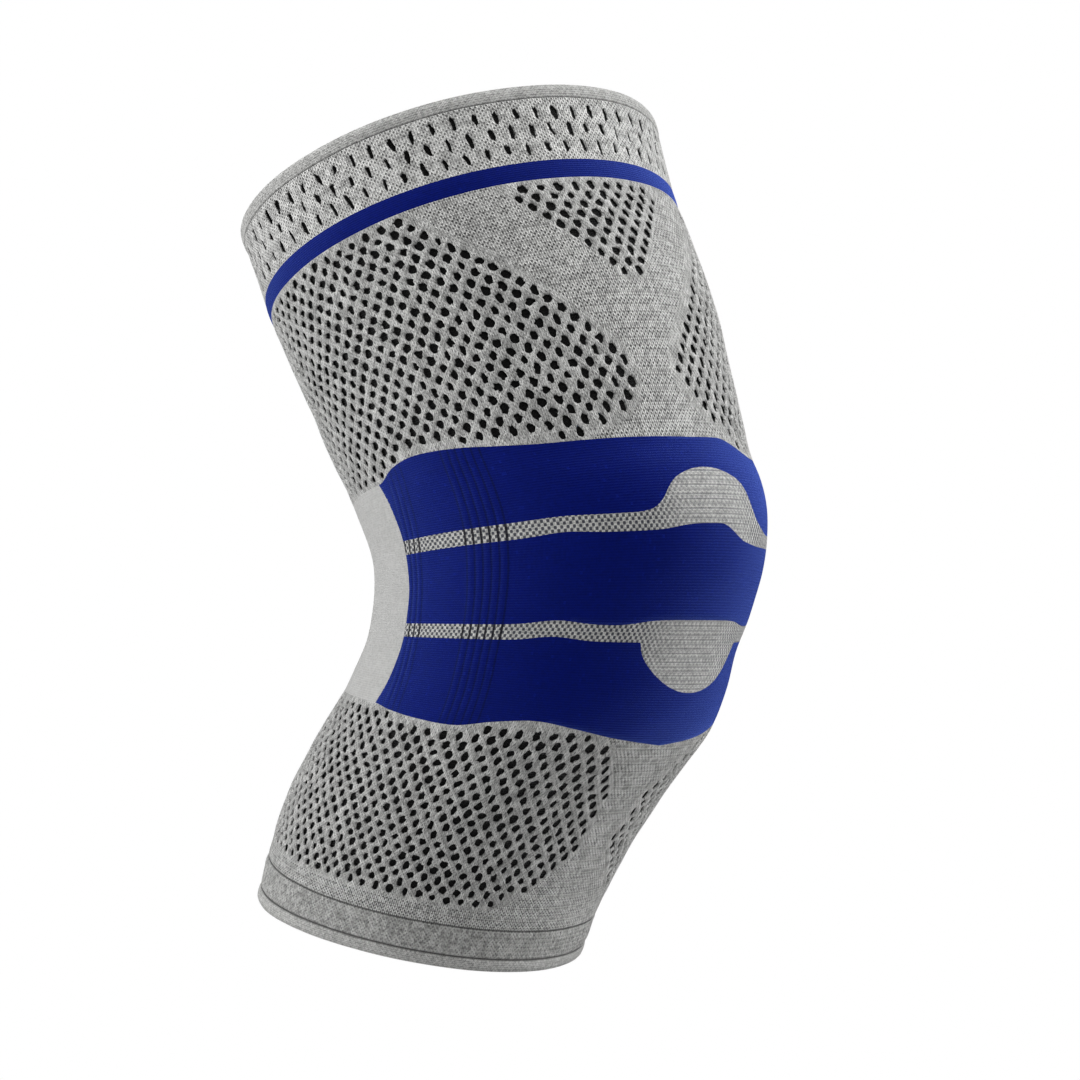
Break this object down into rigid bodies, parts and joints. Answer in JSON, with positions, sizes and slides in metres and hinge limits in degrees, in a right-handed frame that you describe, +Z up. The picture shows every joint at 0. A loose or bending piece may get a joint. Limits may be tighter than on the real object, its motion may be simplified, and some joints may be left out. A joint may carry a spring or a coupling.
{
  "type": "knee sleeve",
  "caption": "Seamless knitted knee sleeve in its worn, bent form: eyelet net on thigh and calf, dense wrap round the knee, pierced grip cuff.",
  "frame": {"origin": "the middle of the knee, on the sleeve's middle line, where the leg sits", "axes": "+Z up along the leg at the knee, -Y out through the knee cap, X from side to side"},
  "size_m": [0.154, 0.2038, 0.3093],
  "materials": {
    "hem_knit": "dense turned welt, light grey",
    "cuff_knit": "dense knit, light grey",
    "net_knit": "eyelet knit, light grey",
    "plain_knit": "plain fine knit, light grey",
    "smooth_knit": "smooth soft knit, pale grey",
    "patella_knit": "bird's-eye knit, grey",
    "blue_knit": "dense elastic knit, deep blue"
  },
  "bodies": {
    "root": {"thigh_hem": "hem_knit", "thigh_cuff": "cuff_knit", "thigh_stripe": "blue_knit", "thigh_net": "net_knit", "thigh_yoke": "plain_knit", "thigh_notch_net": "net_knit", "knee_band_upper": "blue_knit", "patella_band_upper": "patella_knit", "knee_band_middle": "blue_knit", "patella_band_lower": "patella_knit", "knee_band_lower": "blue_knit", "hollow_panel": "smooth_knit", "calf_net": "net_knit", "calf_strap": "plain_knit", "calf_ring": "plain_knit", "calf_cuff": "cuff_knit", "calf_hem": "hem_knit"}
  },
  "joints": []
}
